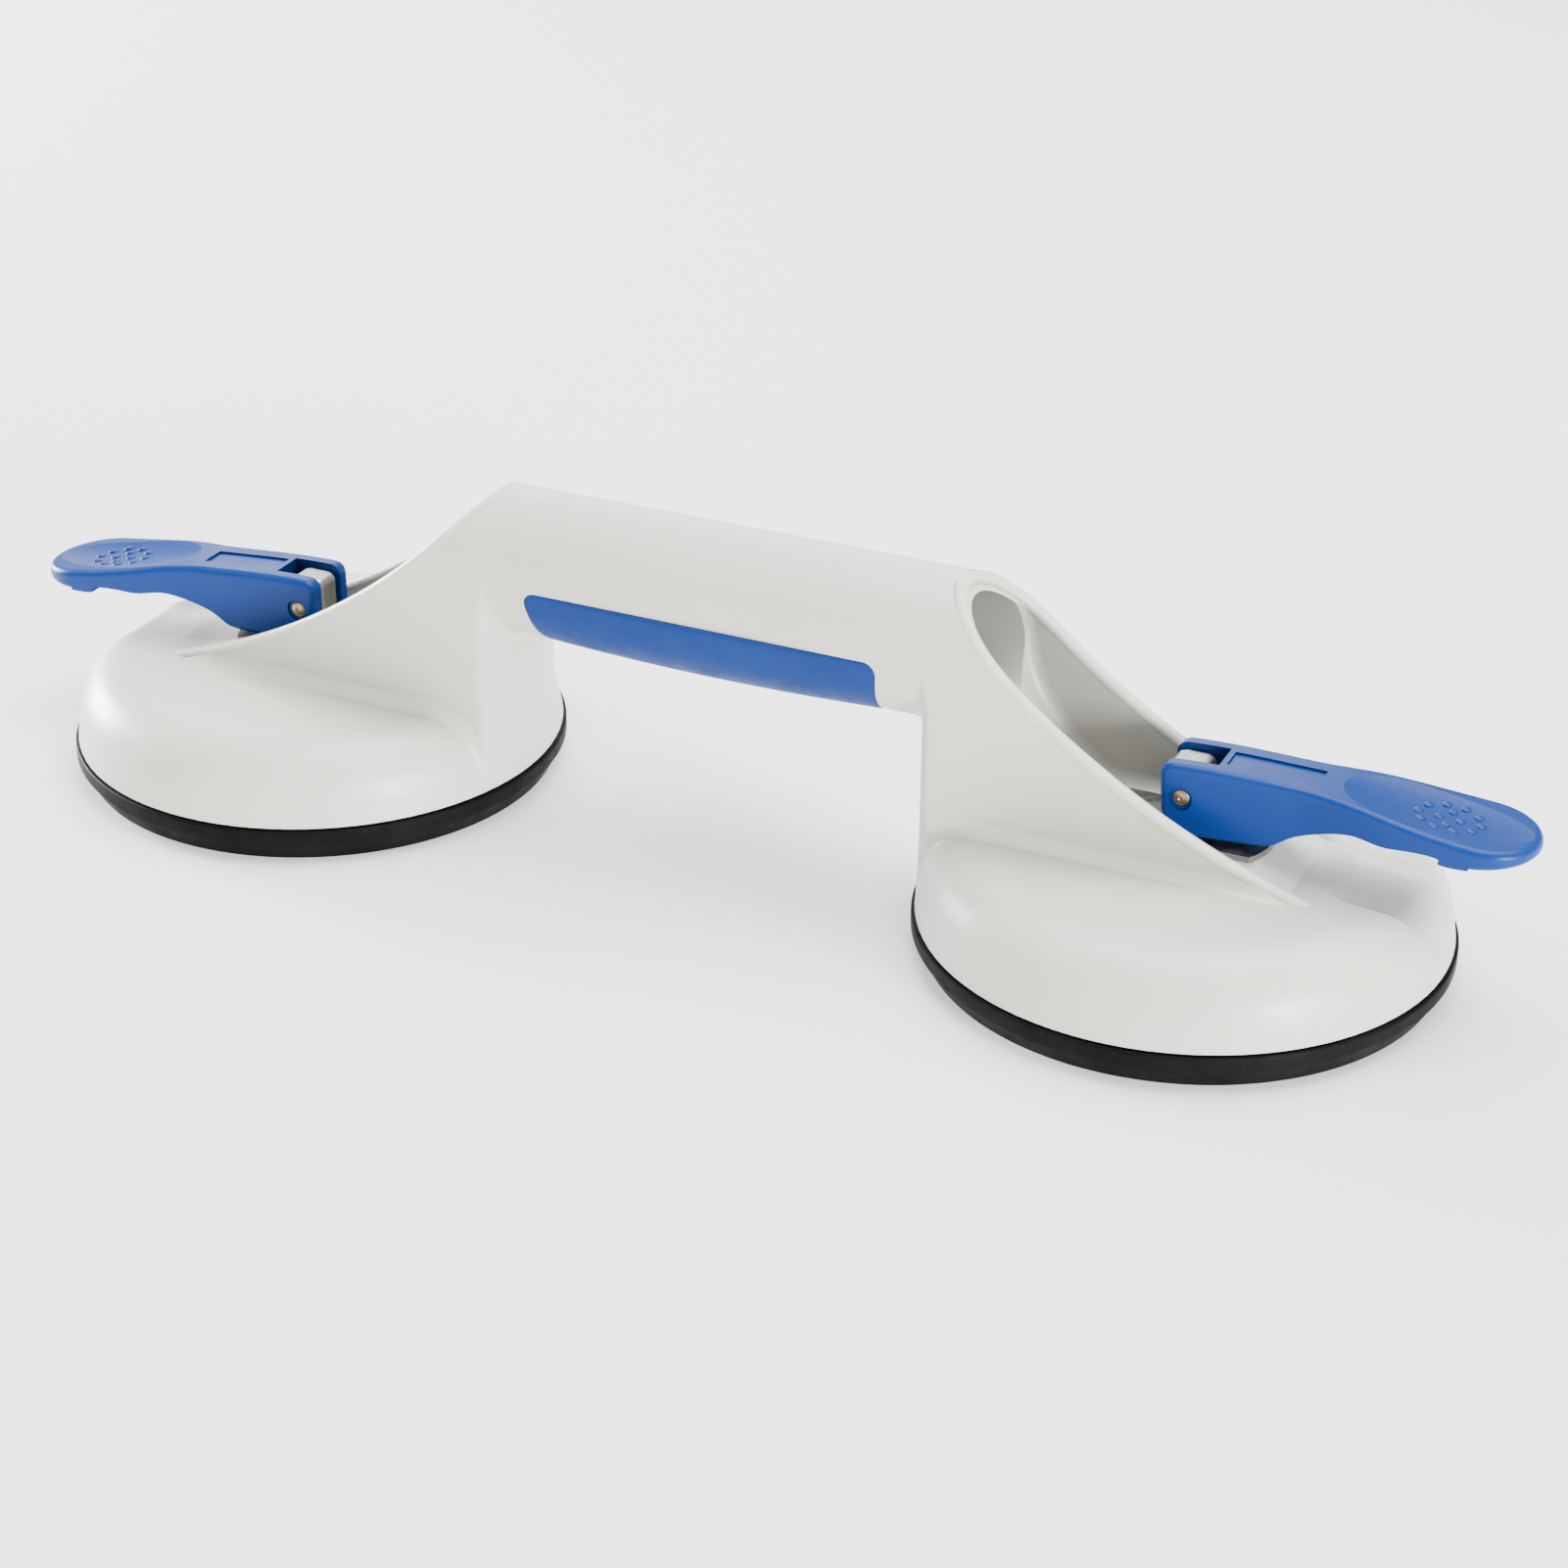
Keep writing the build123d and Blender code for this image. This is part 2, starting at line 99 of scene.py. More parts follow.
class Shading:
    """Node tree of one material, with short calls that add and join nodes."""

    def __init__(self, name: str) -> None:
        """Start a material that holds one Principled shader.

        Args:
            name: The material's name.
        """
        self.material = bpy.data.materials.new(name)
        self.material.use_nodes = True
        self.tree = self.material.node_tree
        self.tree.nodes.clear()
        output = self.tree.nodes.new("ShaderNodeOutputMaterial")
        self.shader = self.tree.nodes.new("ShaderNodeBsdfPrincipled")
        self.join(self.shader.outputs["BSDF"], output.inputs["Surface"])
        self.place = self.tree.nodes.new("ShaderNodeTexCoord").outputs["Object"]

    def join(self, source: Socket, target: Socket) -> None:
        """Link an output socket to an input socket."""
        self.tree.links.new(source, target)

    def feed(self, name: str, source: Socket) -> None:
        """Link an output socket to the shader's input of this name."""
        self.join(source, self.shader.inputs[name])

    def hold(self, name: str, value: float | tuple[float, ...]) -> None:
        """Set the shader's input of this name to one value all over."""
        self.shader.inputs[name].default_value = value

    def noise(self, size: float, detail: float, spread: Spread = Spread.EVEN) -> Socket:
        """Noise whose patches are about this size.

        Args:
            size: Size of a patch, in metres.
            detail: Number of finer layers.
            spread: How the patches are drawn out.

        Returns:
            The noise's value socket.
        """
        mapping = self.tree.nodes.new("ShaderNodeMapping")
        mapping.inputs["Scale"].default_value = spread.value
        self.join(self.place, mapping.inputs["Vector"])
        node = self.tree.nodes.new("ShaderNodeTexNoise")
        node.inputs["Scale"].default_value = 1.0 / size
        node.inputs["Detail"].default_value = detail
        self.join(mapping.outputs["Vector"], node.inputs["Vector"])
        return node.outputs["Fac"]

    def cells(self, size: float) -> Socket:
        """Distance to the nearest of points scattered about this far apart."""
        node = self.tree.nodes.new("ShaderNodeTexVoronoi")
        node.inputs["Scale"].default_value = 1.0 / size
        self.join(self.place, node.inputs["Vector"])
        return node.outputs["Distance"]

    def openness(self, reach: float) -> Socket:
        """How open a spot lies to its surroundings, from 0 in a deep recess to 1.

        Args:
            reach: How far away the piece's own walls still count, in metres.

        Returns:
            The openness socket.
        """
        node = self.tree.nodes.new("ShaderNodeAmbientOcclusion")
        node.only_local = True
        node.samples = OPENNESS_SAMPLES
        node.inputs["Distance"].default_value = reach
        return node.outputs["AO"]

    def remap(self, value: Socket, low: float, high: float, to_low: float, to_high: float) -> Socket:
        """Carry a value from one range to another, clamped at both ends.

        Args:
            value: The socket to read.
            low: Value that becomes to_low.
            high: Value that becomes to_high.
            to_low: What the low value becomes.
            to_high: What the high value becomes.

        Returns:
            The remapped value's socket.
        """
        node = self.tree.nodes.new("ShaderNodeMapRange")
        self.join(value, node.inputs["Value"])
        ends = {"From Min": low, "From Max": high, "To Min": to_low, "To Max": to_high}
        for name, number in ends.items():
            node.inputs[name].default_value = number
        return node.outputs["Result"]

    def patches(self, kind: Patches, to_low: float = 0.0, to_high: float = 1.0) -> Socket:
        """Patches of noise as a value between two ends.

        Args:
            kind: The patches' size, layers and span.
            to_low: Value at the span's low end.
            to_high: Value at the span's high end.

        Returns:
            The value's socket.
        """
        return self.remap(self.noise(kind.size, kind.detail), kind.low, kind.high, to_low, to_high)

    def mixed(self, share: Socket, first: Colour | Socket, second: Colour) -> Socket:
        """Blend two colours by a share from 0 to 1.

        Args:
            share: Socket that gives the second colour's share.
            first: Colour, or socket of the colour, at share 0.
            second: Colour at share 1.

        Returns:
            The blended colour's socket.
        """
        node = self.tree.nodes.new("ShaderNodeMix")
        node.data_type = "RGBA"
        self.join(share, node.inputs["Factor"])
        under, over = [socket for socket in node.inputs if socket.type == "RGBA"]
        over.default_value = (*second, 1.0)
        if isinstance(first, tuple):
            under.default_value = (*first, 1.0)
        else:
            self.join(first, under)
        return [socket for socket in node.outputs if socket.type == "RGBA"][0]

    def bump(self, height: Socket, depth: float, strength: float, under: Socket | None = None) -> Socket:
        """Turn a height into relief, on top of another relief if one is given.

        Args:
            height: Socket of the height.
            depth: Full depth of the relief, in metres.
            strength: Share of the relief that shows.
            under: Relief that this one lies on.

        Returns:
            The normal's socket.
        """
        node = self.tree.nodes.new("ShaderNodeBump")
        node.inputs["Distance"].default_value = depth
        node.inputs["Strength"].default_value = strength
        self.join(height, node.inputs["Height"])
        if under is not None:
            self.join(under, node.inputs["Normal"])
        return node.outputs["Normal"]

    def relief(
        self, kind: Relief, under: Socket | None = None, spread: Spread = Spread.EVEN
    ) -> Socket:
        """Relief made from noise.

        Args:
            kind: The relief's size, layers, depth and strength.
            under: Relief that this one lies on.
            spread: How the noise is drawn out.

        Returns:
            The normal's socket.
        """
        height = self.noise(kind.size, kind.detail, spread)
        return self.bump(height, kind.depth, kind.strength, under)


def shade(colour: Colour, factor: float) -> Colour:
    """The same colour, lighter or darker by a factor."""
    return (colour[0] * factor, colour[1] * factor, colour[2] * factor)


@dataclass(frozen=True)
class MouldedPlastic:
    """Injection-moulded plastic with a fine spark-eroded grain, faint flow marks and painted shade in its
    own recesses.
    """

    name: str
    colour: Colour
    roughness: float
    specular: float = 0.5
    flow: Patches = Patches(45.0 * MM, 2.0)
    flow_shift: float = 0.05
    flecks: Patches = Patches(1.1 * MM, 1.0, 0.72, 0.78)
    fleck_share: float = 0.18
    fleck_tone: float = 0.8
    # The recess fields below paint shade into the colour: it darkens where the piece's own walls close
    # round a spot.
    recess_shade_reach: float = 60.0 * MM
    recess_shade_shut: float = 0.35
    recess_shade_open: float = 0.85
    recess_shade_tone: float = 0.5
    rubbed: Patches = Patches(9.0 * MM, 4.0, 0.3, 0.75)
    polish: float = 0.04
    wear: float = 0.06
    waves: Relief = Relief(14.0 * MM, 1.0, 0.08 * MM, 0.25)
    grain: Relief = Relief(0.35 * MM, 2.0, 0.012 * MM, 0.7)

    def material(self) -> bpy.types.Material:
        """Build the finish."""
        sheet = Shading(self.name)
        tone = sheet.mixed(sheet.patches(self.flow), self.colour, shade(self.colour, 1.0 - self.flow_shift))
        flecks = sheet.patches(self.flecks, 0.0, self.fleck_share)
        tone = sheet.mixed(flecks, tone, shade(self.colour, self.fleck_tone))
        # Painted shade: an ambient-occlusion node darkens the colour in the piece's own recesses.
        openness = sheet.openness(self.recess_shade_reach)
        recess = sheet.remap(openness, self.recess_shade_shut, self.recess_shade_open, 1.0, 0.0)
        tone = sheet.mixed(recess, tone, shade(self.colour, self.recess_shade_tone))
        sheet.feed("Base Color", tone)
        gloss = sheet.patches(self.rubbed, self.roughness - self.polish, self.roughness + self.wear)
        sheet.feed("Roughness", gloss)
        sheet.hold("Specular IOR Level", self.specular)
        sheet.feed("Normal", sheet.relief(self.grain, sheet.relief(self.waves)))
        return sheet.material


@dataclass(frozen=True)
class SoftTouch:
    """Soft blue rubber of the grip: matt, finely pebbled, a little rubbed."""

    name: str
    colour: Colour
    roughness: float = 0.52
    specular: float = 0.18
    rubbed: Patches = Patches(18.0 * MM, 3.0, 0.35, 0.75)
    rubbed_tone: float = 1.12
    sheen: Patches = Patches(5.0 * MM, 4.0)
    polish: float = 0.05
    wear: float = 0.08
    pebble: float = 0.55 * MM
    pebble_depth: float = 0.02 * MM
    pebble_strength: float = 0.5

    def material(self) -> bpy.types.Material:
        """Build the finish."""
        sheet = Shading(self.name)
        lighter = shade(self.colour, self.rubbed_tone)
        sheet.feed("Base Color", sheet.mixed(sheet.patches(self.rubbed), self.colour, lighter))
        gloss = sheet.patches(self.sheen, self.roughness - self.polish, self.roughness + self.wear)
        sheet.feed("Roughness", gloss)
        sheet.hold("Specular IOR Level", self.specular)
        pebbles = sheet.cells(self.pebble)
        sheet.feed("Normal", sheet.bump(pebbles, self.pebble_depth, self.pebble_strength))
        return sheet.material


@dataclass(frozen=True)
class PadRubber:
    """Black rubber with a dull bloom, fine pits and a little dust."""

    name: str
    colour: Colour = (0.0012, 0.0012, 0.001)
    bloom: Colour = (0.004, 0.004, 0.0036)
    dust: Colour = (0.025, 0.024, 0.021)
    specular: float = 0.08
    clouds: Patches = Patches(16.0 * MM, 5.0, 0.35, 0.75)
    specks: Patches = Patches(0.7 * MM, 2.0, 0.66, 0.76)
    dust_share: float = 0.35
    sheen: Patches = Patches(6.0 * MM, 4.0)
    smoothest: float = 0.5
    roughest: float = 0.66
    pits: Relief = Relief(0.5 * MM, 3.0, 0.03 * MM, 0.6)

    def material(self) -> bpy.types.Material:
        """Build the finish."""
        sheet = Shading(self.name)
        tone = sheet.mixed(sheet.patches(self.clouds), self.colour, self.bloom)
        tone = sheet.mixed(sheet.patches(self.specks, 0.0, self.dust_share), tone, self.dust)
        sheet.feed("Base Color", tone)
        sheet.feed("Roughness", sheet.patches(self.sheen, self.smoothest, self.roughest))
        sheet.hold("Specular IOR Level", self.specular)
        sheet.feed("Normal", sheet.relief(self.pits))
        return sheet.material


@dataclass(frozen=True)
class Steel:
    """Bare or zinc-plated steel: mottled tone, fine drawn lines and stains."""

    name: str
    colour: Colour
    stain: Colour
    roughness: float
    spangle: float = 2.4 * MM
    spangle_inner: float = 0.1
    spangle_outer: float = 0.8
    spangle_share: float = 0.6
    spangle_tone: float = 0.86
    stains: Patches = Patches(3.0 * MM, 5.0, 0.52, 0.72)
    stain_share: float = 0.7
    sheen: Patches = Patches(1.8 * MM, 4.0)
    polish: float = 0.08
    wear: float = 0.12
    drawn: Relief = Relief(0.25 * MM, 2.0, 0.012 * MM, 0.6)
    lines: Spread = Spread.EVEN

    def material(self) -> bpy.types.Material:
        """Build the finish."""
        sheet = Shading(self.name)
        sheet.hold("Metallic", 1.0)
        cells = sheet.cells(self.spangle)
        mottle = sheet.remap(cells, self.spangle_inner, self.spangle_outer, 0.0, self.spangle_share)
        tone = sheet.mixed(mottle, self.colour, shade(self.colour, self.spangle_tone))
        tone = sheet.mixed(sheet.patches(self.stains, 0.0, self.stain_share), tone, self.stain)
        sheet.feed("Base Color", tone)
        gloss = sheet.patches(self.sheen, self.roughness - self.polish, self.roughness + self.wear)
        sheet.feed("Roughness", gloss)
        sheet.feed("Normal", sheet.relief(self.drawn, spread=self.lines))
        return sheet.material


class Finishes:
    """The lifter's finishes, each built once."""

    def __init__(self) -> None:
        """Build every finish."""
        self.shell = MouldedPlastic("off_white_moulding", (0.64, 0.633, 0.568), 0.36).material()
        self.lever = MouldedPlastic(
            "blue_moulding",
            colour=(0.001, 0.03, 0.185),
            roughness=0.36,
            specular=0.2,
            flow_shift=0.06,
            fleck_share=0.0,
            grain=Relief(0.3 * MM, 2.0, 0.012 * MM, 0.7),
        ).material()
        self.grip = SoftTouch("blue_soft_touch", (0.002, 0.026, 0.155)).material()
        self.pad = PadRubber("black_pad_rubber").material()
        self.plated = Steel("zinc_plated_steel", (0.36, 0.36, 0.335), (0.25, 0.235, 0.21), 0.38).material()
        self.wear = Steel(
            "pressed_steel_sheet",
            colour=(0.3, 0.3, 0.29),
            stain=(0.17, 0.16, 0.14),
            roughness=0.34,
            lines=Spread.ALONG_X,
        ).material()
        self.pin = Steel(
            "turned_pin_steel",
            colour=(0.36, 0.27, 0.17),
            stain=(0.09, 0.05, 0.03),
            roughness=0.3,
            spangle=0.9 * MM,
        ).material()
        self.wire = Steel("drawn_spring_wire", (0.5, 0.5, 0.5), (0.32, 0.3, 0.28), 0.3).material()
        self.bush = MouldedPlastic("natural_acetal", (0.72, 0.71, 0.66), 0.4).material()


def put_on(node: str, material: bpy.types.Material) -> None:
    """Give a CAD node this finish in place of its own.

    Args:
        node: The node's name.
        material: The finish.
    """
    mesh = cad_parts[node].data
    mesh.materials.clear()
    mesh.materials.append(material)
    LOG.info("%s takes %s", node, material.name)


def new_piece(
    name: str, mesh: bpy.types.Mesh, material: bpy.types.Material, body: str
) -> bpy.types.Object:
    """Add a mesh to the scene as a piece that rides on a body.

    Args:
        name: The piece's name.
        mesh: Its mesh, in the row frame.
        material: Its finish.
        body: The body that carries it.

    Returns:
        The new object.
    """
    piece = bpy.data.objects.new(name, mesh)
    bpy.context.scene.collection.objects.link(piece)
    mesh.materials.append(material)
    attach(piece, body)
    LOG.info("%s rides on %s, %d faces", name, body, len(mesh.polygons))
    return piece


def spread_ends(count: int, ease: float = 0.75) -> list[float]:
    """Shares from -1 to 1 that lie closer together near both ends.

    Args:
        count: Number of runs between the shares.
        ease: How much closer the ends' shares lie, from 0 to 1.

    Returns:
        The shares, in rising order.
    """
    even = [2 * step / count - 1 for step in range(count + 1)]
    return [(1 - ease) * share + ease * math.sin(share * math.pi / 2) for share in even]


def corner_rounded(points: list[tuple[float, float, float]], steps: int = 5) -> Outline:
    """Round each corner of an open outline with a short arc.

    Args:
        points: Corners as (radius, height, rounding), where a rounding of 0 stays sharp.
        steps: Number of runs in each arc.

    Returns:
        The outline's points as (radius, height).
    """
    outline: Outline = []
    last = len(points) - 1
    for index, (radius, height, rounding) in enumerate(points):
        here = Vector((radius, height))
        if rounding == 0.0 or index in (0, last):
            outline.append((radius, height))
            continue
        before = (Vector(points[index - 1][:2]) - here).normalized() * rounding
        after = (Vector(points[index + 1][:2]) - here).normalized() * rounding
        for step in range(steps + 1):
            share = step / steps
            spot = here + before * (1 - share) ** 2 + after * share ** 2
            outline.append((spot.x, spot.y))
    return outline


def into_mesh(shape: bmesh.types.BMesh, name: str, sharp: float) -> bpy.types.Mesh:
    """Turn a finished shape into a mesh whose faces point outwards.

    Args:
        shape: The shape, which is freed.
        name: The mesh's name.
        sharp: Angle between faces, in degrees, from which an edge stays sharp.

    Returns:
        The mesh, shaded smooth apart from its sharp edges.
    """
    bmesh.ops.recalc_face_normals(shape, faces=shape.faces)
    mesh = bpy.data.meshes.new(name)
    shape.to_mesh(mesh)
    shape.free()
    mesh.shade_smooth()
    mesh.set_sharp_from_angle(angle=math.radians(sharp))
    return mesh


def lathed(
    name: str, outline: Outline, place: Matrix, segments: int, sharp: float = 38.0
) -> bpy.types.Mesh:
    """Turn an outline about Z into a closed mesh.

    Args:
        name: The mesh's name.
        outline: Points as (radius, height); the first and last lie on the axis.
        place: Where the turned piece goes in the row frame.
        segments: Number of steps round the axis.
        sharp: Angle between faces, in degrees, from which an edge stays sharp.

    Returns:
        The mesh.
    """
    shape = bmesh.new()
    rings: Rows = []
    for radius, height in outline:
        if radius < ON_AXIS:
            rings.append([shape.verts.new((0.0, 0.0, height))])
            continue
        ring = []
        for step in range(segments):
            angle = 2 * math.pi * step / segments
            ring.append(shape.verts.new((radius * math.cos(angle), radius * math.sin(angle), height)))
        rings.append(ring)
    for low, high in zip(rings, rings[1:]):
        for step in range(segments):
            ahead = (step + 1) % segments
            corners = [low[step % len(low)], low[ahead % len(low)]]
            corners += [high[ahead % len(high)], high[step % len(high)]]
            shape.faces.new(list(dict.fromkeys(corners)))
    mesh = into_mesh(shape, name, sharp)
    mesh.transform(place)
    return mesh


@dataclass
class Housing:
    """One-piece shell with the wear plates, bushes and springs that stay in it."""

    finishes: Finishes

    def dress(self) -> None:
        """Give the shell and what stays in it their finishes."""
        put_on("housing", self.finishes.shell)
        for side in Side:
            put_on(f"{side.word}_wear_plate", self.finishes.wear)
            put_on(f"{side.word}_guide_bush", self.finishes.bush)
            put_on(f"{side.word}_return_spring", self.finishes.wire)


@dataclass
class Grip:
    """Soft grip let into the handle's underside, with a slight belly and a rolled edge."""

    finishes: Finishes
    tube_radius: float = 17.0 * MM
    tube_axis: float = 62.5 * MM
    half_length: float = 44.3 * MM
    end_slant: float = 2.6 * MM
    depth: float = 1.8 * MM
    belly: float = 1.2 * MM
    top: float = 62.3 * MM
    corner: float = 3.0 * MM
    joint_gap: float = 0.08 * MM
    slant_spare: float = 1.0 * MM
    edge_roll: float = 0.7 * MM
    edge_drop: float = 0.3 * MM
    sharp: float = 50.0
    rows: int = 44
    columns: int = 76

    def reach(self, height: float) -> float:
        """Half length of the grip at a height, with its slanted ends and rounded corners.

        Args:
            height: Height above the work surface.

        Returns:
            The half length, in metres.
        """
        low = self.tube_axis - self.tube_radius - self.belly - self.slant_spare
        below = max(self.top - height, 0.0)
        length = self.half_length - self.end_slant * below / (self.top - low)
        if below < self.corner:
            length -= self.corner - math.sqrt(self.corner ** 2 - (self.corner - below) ** 2)
        return length - self.joint_gap

    def skin(self, along: float) -> float:
        """Outer radius of the grip at a place along the handle.

        Args:
            along: Distance from the handle's middle.

        Returns:
            The radius about the tube's axis.
        """
        bow = (self.half_length ** 2 + self.belly ** 2) / (2 * self.belly)
        return self.tube_radius + self.belly - bow + math.sqrt(bow ** 2 - along ** 2)

    def drop(self, inside: float) -> float:
        """How far the skin rolls down at this distance inside the grip's edge."""
        if inside >= self.edge_roll:
            return 0.0
        short = 1 - inside / self.edge_roll
        return self.edge_drop * (1 - math.sqrt(1 - short ** 2))

    def lay_rows(self, shape: bmesh.types.BMesh, inner: bool) -> Rows:
        """Lay rows of points over the grip's outer or inner face.

        Args:
            shape: The shape that takes the points.
            inner: Whether the face is the inner one.

        Returns:
            The rows, each along the handle.
        """
        widest = math.acos((self.tube_axis - self.top + self.joint_gap) / self.tube_radius)
        rows: Rows = []
        for turn in spread_ends(self.rows):
            angle = turn * widest
            reach = self.reach(self.tube_axis - self.tube_radius * math.cos(angle))
            across = (1 - abs(turn)) * widest * self.tube_radius
            row = []
            for share in spread_ends(self.columns):
                inside = min(across, (1 - abs(share)) * reach)
                radius = self.skin(share * reach) - self.drop(inside)
                if inner:
                    radius = self.tube_radius - self.depth
                height = self.tube_axis - radius * math.cos(angle)
                row.append(shape.verts.new((share * reach, radius * math.sin(angle), height)))
            rows.append(row)
        return rows

    @staticmethod
    def rim(rows: Rows) -> list[bmesh.types.BMVert]:
        """Points along the edge of a face's rows, once round."""
        start = [row[0] for row in rows]
        end = [row[-1] for row in rows]
        return rows[0] + end[1:] + rows[-1][-2::-1] + start[-2:0:-1]

    def build(self) -> None:
        """Make the grip and let it stand for its CAD solid."""
        shape = bmesh.new()
        outer = self.lay_rows(shape, inner=False)
        inner = self.lay_rows(shape, inner=True)
        for rows in (outer, inner):
            for row, ahead in zip(rows, rows[1:]):
                for step in range(self.columns):
                    shape.faces.new((row[step], row[step + 1], ahead[step + 1], ahead[step]))
        outer_rim = self.rim(outer)
        inner_rim = self.rim(inner)
        for step in range(len(outer_rim)):
            ahead = (step + 1) % len(outer_rim)
            shape.faces.new((outer_rim[step], outer_rim[ahead], inner_rim[ahead], inner_rim[step]))
        mesh = into_mesh(shape, "soft_grip", self.sharp)
        piece = new_piece("soft_grip", mesh, self.finishes.grip, "housing")
        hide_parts("grip_inlay")


@dataclass
class SuctionPad:
    """Rubber disc of one cup, with its band, bevelled foot, lip and hollow."""

    side: Side
    finishes: Finishes
    cup_offset: float = 112.0 * MM
    band_radius: float = 60.2 * MM
    shoulder_radius: float = 59.4 * MM
    foot_radius: float = 57.2 * MM
    band_bottom: float = 4.6 * MM
    band_round: float = 0.63 * MM
    step_below: float = 0.5 * MM
    step_above: float = 0.3 * MM
    step_round: float = 0.21 * MM
    groove_round: float = 0.175 * MM
    top: float = 8.3 * MM
    hollow: float = 2.2 * MM
    hollow_round: float = 1.4 * MM
    lip_width: float = 7.0 * MM
    lip_slope: float = 4.0 * MM
    edge_round: float = 0.35 * MM
    plate_radius: float = 40.0 * MM
    collar_width: float = 2.0 * MM
    collar_height: float = 1.6 * MM
    segments: int = 192

    def outline(self) -> Outline:
        """Half section of the pad, from the hollow's centre round to the seat's centre."""
        lip = self.foot_radius - self.lip_width
        collar = self.plate_radius + self.collar_width
        collar_top = self.top + self.collar_height
        corners = [
            (0.0, self.hollow, 0.0),
            (lip - self.lip_slope, self.hollow, self.hollow_round),
            (lip, 0.0, self.edge_round),
            (self.foot_radius, 0.0, self.edge_round),
            (self.shoulder_radius, self.band_bottom - self.step_below, self.step_round),
            (self.shoulder_radius, self.band_bottom, self.groove_round),
            (self.band_radius, self.band_bottom + self.step_above, self.step_round),
            (self.band_radius, self.top, self.band_round),
            (collar, self.top, 0.0),
            (collar, collar_top, self.edge_round),
            (self.plate_radius, collar_top, self.edge_round),
            (self.plate_radius, self.top, 0.0),
            (0.0, self.top, 0.0),
        ]
        return corner_rounded(corners)

    def build(self) -> None:
        """Make the pad and let it stand for its CAD solid."""
        place = self.side.turn @ Matrix.Translation((self.cup_offset, 0, 0))
        name = f"{self.side.word}_pad_rubber"
        mesh = lathed(name, self.outline(), place, self.segments)
        piece = new_piece(name, mesh, self.finishes.pad, f"{self.side.word}_stud")
        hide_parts(f"{self.side.word}_suction_pad")


